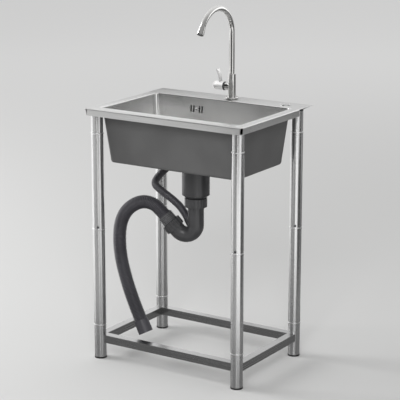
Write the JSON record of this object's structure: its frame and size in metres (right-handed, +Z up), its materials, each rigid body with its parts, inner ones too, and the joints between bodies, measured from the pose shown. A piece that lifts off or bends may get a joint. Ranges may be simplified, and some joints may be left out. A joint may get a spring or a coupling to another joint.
{
  "type": "free-standing sink",
  "caption": "Free-standing stainless steel sink with a drafted bowl on a tube-leg stand, gooseneck swivel tap, lift-out strainer, trap and ribbed drain and overflow hoses.",
  "frame": {"origin": "floor point under the middle of the rim", "axes": "+X to the right seen from the front, +Y to the rear, +Z up"},
  "size_m": [0.555, 0.42, 1.1005],
  "materials": {
    "basin_steel": "brushed",
    "undercoat": "matte sprayed coat",
    "foot_plastic": "matte",
    "dark_screw": "blackened",
    "tube_steel": "polished",
    "rail_steel": "satin",
    "fitting_steel": "polished",
    "seal_rubber": "matte",
    "drain_plastic": "satin moulded",
    "hose_plastic": "satin ribbed",
    "tap_brass": "machined",
    "black_plastic": "gloss",
    "tap_steel": "satin"
  },
  "bodies": {
    "stand": {"bowl_undercoat": "undercoat", "drain_body": "drain_plastic", "drain_flange": "fitting_steel", "drain_gasket": "seal_rubber", "drain_hose": "hose_plastic", "drain_nut": "drain_plastic", "drain_screw": "fitting_steel", "hole_cap": "fitting_steel", "hole_cap_nut": "drain_plastic", "hose_collar": "hose_plastic", "hose_end_cuff": "hose_plastic", "leg_front_left_bottom_stub": "tube_steel", "leg_front_left_foot": "foot_plastic", "leg_front_left_lower_tube": "tube_steel", "leg_front_left_top_stub": "tube_steel", "leg_front_left_upper_tube": "tube_steel", "leg_front_right_bottom_stub": "tube_steel", "leg_front_right_foot": "foot_plastic", "leg_front_right_lower_tube": "tube_steel", "leg_front_right_top_stub": "tube_steel", "leg_front_right_upper_tube": "tube_steel", "leg_lock_screws": "dark_screw", "leg_rear_left_bottom_stub": "tube_steel", "leg_rear_left_foot": "foot_plastic", "leg_rear_left_lower_tube": "tube_steel", "leg_rear_left_top_stub": "tube_steel", "leg_rear_left_upper_tube": "tube_steel", "leg_rear_right_bottom_stub": "tube_steel", "leg_rear_right_foot": "foot_plastic", "leg_rear_right_lower_tube": "tube_steel", "leg_rear_right_top_stub": "tube_steel", "leg_rear_right_upper_tube": "tube_steel", "overflow_gasket": "seal_rubber", "overflow_hose": "hose_plastic", "overflow_housing": "drain_plastic", "overflow_screw": "fitting_steel", "rail_front": "rail_steel", "rail_left": "rail_steel", "rail_rear": "rail_steel", "rail_right": "rail_steel", "sink_bowl": "basin_steel", "sink_deck": "basin_steel", "tap_base_ring": "tap_steel", "tap_body": "tap_steel", "tap_gasket": "seal_rubber", "tap_nut": "tap_brass", "tap_shank": "tap_brass", "tap_washer": "fitting_steel", "trap_pipe": "drain_plastic", "trap_seal": "seal_rubber", "trap_slip_nut": "drain_plastic", "valve_cartridge": "tap_brass", "valve_ring": "black_plastic"},
    "spout": {"tap_spout": "tap_steel", "aerator_housing": "tap_steel", "aerator_insert": "black_plastic"},
    "lever": {"lever_hub": "tap_steel", "lever_paddle": "tap_steel"},
    "basket": {"strainer_basket": "fitting_steel", "basket_knob": "fitting_steel"}
  },
  "joints": [
    {"name": "spout_swivel", "type": "hinge", "parent": "stand", "child": "spout", "pos_m": [0.0105, 0.169, 0.868], "axis": [0, 0, 1], "continuous": true},
    {"name": "lever_turn", "type": "hinge", "parent": "stand", "child": "lever", "pos_m": [-0.03, 0.169, 0.838], "axis": [1, 0, 0], "range_deg": [0, 90]},
    {"name": "basket_lift", "type": "slide", "parent": "stand", "child": "basket", "axis": [0, 0, 1], "range_m": [0, 0.3]}
  ]
}
